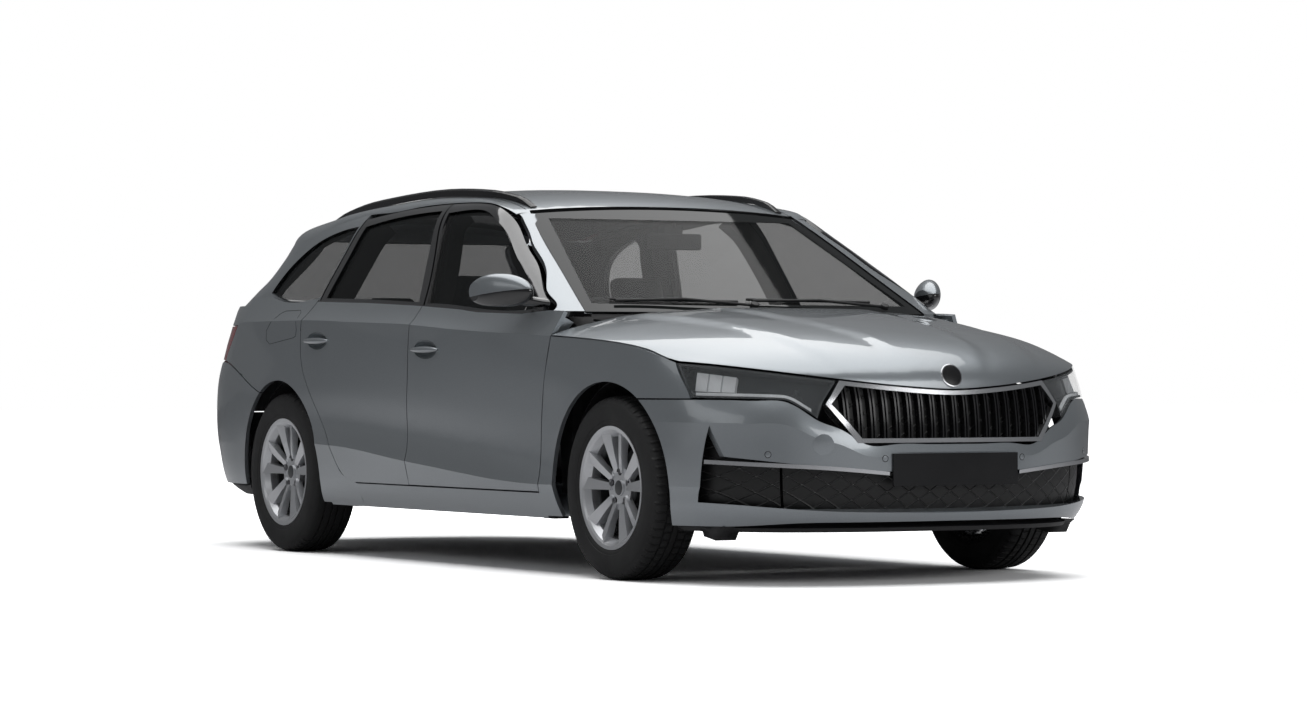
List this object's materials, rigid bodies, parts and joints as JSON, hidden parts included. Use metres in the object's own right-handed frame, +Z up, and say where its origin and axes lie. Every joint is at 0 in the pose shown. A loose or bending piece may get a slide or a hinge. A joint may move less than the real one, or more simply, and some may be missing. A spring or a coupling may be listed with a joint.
{
  "type": "station wagon",
  "caption": "Station wagon with hinged doors, bonnet and tailgate, steered road wheels, a hollow cabin with seats and a flat load space.",
  "frame": {"origin": "centre of the overall box at ground level, under the middle of the car", "axes": "+Z up, -Y towards the front of the car, +X to the car's left"},
  "size_m": [2, 4.7014, 1.4659],
  "materials": {
    "paint": "silver-grey metallic paint under clear coat",
    "glass": "tinted safety glass",
    "frame": "black painted pressed steel",
    "lamp_red": "red lamp lens",
    "lamp_clear": "clear lamp lens",
    "lamp_dark": "dark lamp housing",
    "black_trim": "black trim plastic",
    "bright": "satin bright trim",
    "iron": "bare and coated cast iron and steel",
    "tank": "moulded black plastic",
    "tyre": "black rubber",
    "alloy": "silver painted alloy",
    "cabin_plastic": "dark grained plastic",
    "seat": "dark woven cloth"
  },
  "bodies": {
    "body": {"body_sides": "paint", "bulkhead": "frame", "bumper_trim": "bright", "chassis_rails": "frame", "cowl": "black_trim", "dashboard": "cabin_plastic", "engine_block": "iron", "exhaust": "iron", "floor_pan": "frame", "front_bumper": "paint", "front_plate": "black_trim", "front_seats": "seat", "front_subframe": "iron", "front_wings": "paint", "fuel_tank": "tank", "grille_frame": "bright", "grille_mesh": "black_trim", "grille_slats": "black_trim", "headlamp_covers": "lamp_clear", "headlamp_lights": "lamp_clear", "headlamps": "lamp_dark", "jacking_pads": "frame", "load_floor": "frame", "lower_valances": "black_trim", "quarter_glasses": "glass", "rear_axle": "iron", "rear_bumper": "paint", "rear_seat": "seat", "roof_panel": "paint", "roof_rails": "black_trim", "side_frames": "frame", "tail_lamps": "lamp_red", "wheel_housings": "frame", "windscreen": "glass"},
    "front_door_left": {"door_front_left": "paint", "glass_front_left": "glass", "mirror_left": "paint"},
    "front_door_right": {"door_front_right": "paint", "glass_front_right": "glass", "mirror_right": "paint"},
    "rear_door_left": {"door_rear_left": "paint", "glass_rear_left": "glass"},
    "rear_door_right": {"door_rear_right": "paint", "glass_rear_right": "glass"},
    "bonnet_lid": {"bonnet": "paint"},
    "tailgate_lid": {"tailgate": "paint", "glass_tailgate": "glass"},
    "steering_column": {"steering_wheel": "cabin_plastic"},
    "knuckle_left_body": {"knuckle_left": "iron"},
    "knuckle_right_body": {"knuckle_right": "iron"},
    "front_wheel_left": {"tyre_front_left": "tyre", "wheel_front_left": "alloy"},
    "front_wheel_right": {"tyre_front_right": "tyre", "wheel_front_right": "alloy"},
    "rear_wheel_left": {"tyre_rear_left": "tyre", "wheel_rear_left": "alloy"},
    "rear_wheel_right": {"tyre_rear_right": "tyre", "wheel_rear_right": "alloy"}
  },
  "joints": [
    {"name": "steer_left", "type": "hinge", "parent": "body", "child": "knuckle_left_body", "pos_m": [0.7, -1.452, 0.326], "axis": [0, 0, 1], "range_deg": [-36, 36]},
    {"name": "steer_right", "type": "hinge", "parent": "body", "child": "knuckle_right_body", "pos_m": [-0.7, -1.452, 0.326], "axis": [0, 0, 1], "range_deg": [-36, 36]},
    {"name": "steering_wheel_turn", "type": "hinge", "parent": "body", "child": "steering_column", "pos_m": [-0.37, -0.47, 0.838], "axis": [0, 0.9272, 0.3746], "range_deg": [-504, 504]},
    {"name": "spin_front_left", "type": "hinge", "parent": "knuckle_left_body", "child": "front_wheel_left", "pos_m": [0.77, -1.452, 0.326], "axis": [1, 0, 0], "continuous": true},
    {"name": "spin_front_right", "type": "hinge", "parent": "knuckle_right_body", "child": "front_wheel_right", "pos_m": [-0.77, -1.452, 0.326], "axis": [1, 0, 0], "continuous": true},
    {"name": "spin_rear_left", "type": "hinge", "parent": "body", "child": "rear_wheel_left", "pos_m": [0.77, 1.234, 0.326], "axis": [1, 0, 0], "continuous": true},
    {"name": "spin_rear_right", "type": "hinge", "parent": "body", "child": "rear_wheel_right", "pos_m": [-0.77, 1.234, 0.326], "axis": [1, 0, 0], "continuous": true},
    {"name": "front_door_left_hinge", "type": "hinge", "parent": "body", "child": "front_door_left", "pos_m": [0.916, -1.112, 0.6], "axis": [0, 0, -1], "range_deg": [0, 65]},
    {"name": "front_door_right_hinge", "type": "hinge", "parent": "body", "child": "front_door_right", "pos_m": [-0.916, -1.112, 0.6], "axis": [0, 0, 1], "range_deg": [0, 65]},
    {"name": "rear_door_left_hinge", "type": "hinge", "parent": "body", "child": "rear_door_left", "pos_m": [0.92, -0.006, 0.6], "axis": [0, 0, -1], "range_deg": [0, 65]},
    {"name": "rear_door_right_hinge", "type": "hinge", "parent": "body", "child": "rear_door_right", "pos_m": [-0.92, -0.006, 0.6], "axis": [0, 0, 1], "range_deg": [0, 65]},
    {"name": "bonnet_hinge", "type": "hinge", "parent": "body", "child": "bonnet_lid", "pos_m": [0, -1.082, 0.935], "axis": [-1, 0, 0], "range_deg": [0, 48]},
    {"name": "tailgate_hinge", "type": "hinge", "parent": "body", "child": "tailgate_lid", "pos_m": [0, 1.649, 1.392], "axis": [1, 0, 0], "range_deg": [0, 78]}
  ],
  "couplings": [
    {"joint": "steer_right", "follows": "steer_left", "ratio": 1},
    {"joint": "steering_wheel_turn", "follows": "steer_left", "ratio": 14}
  ]
}
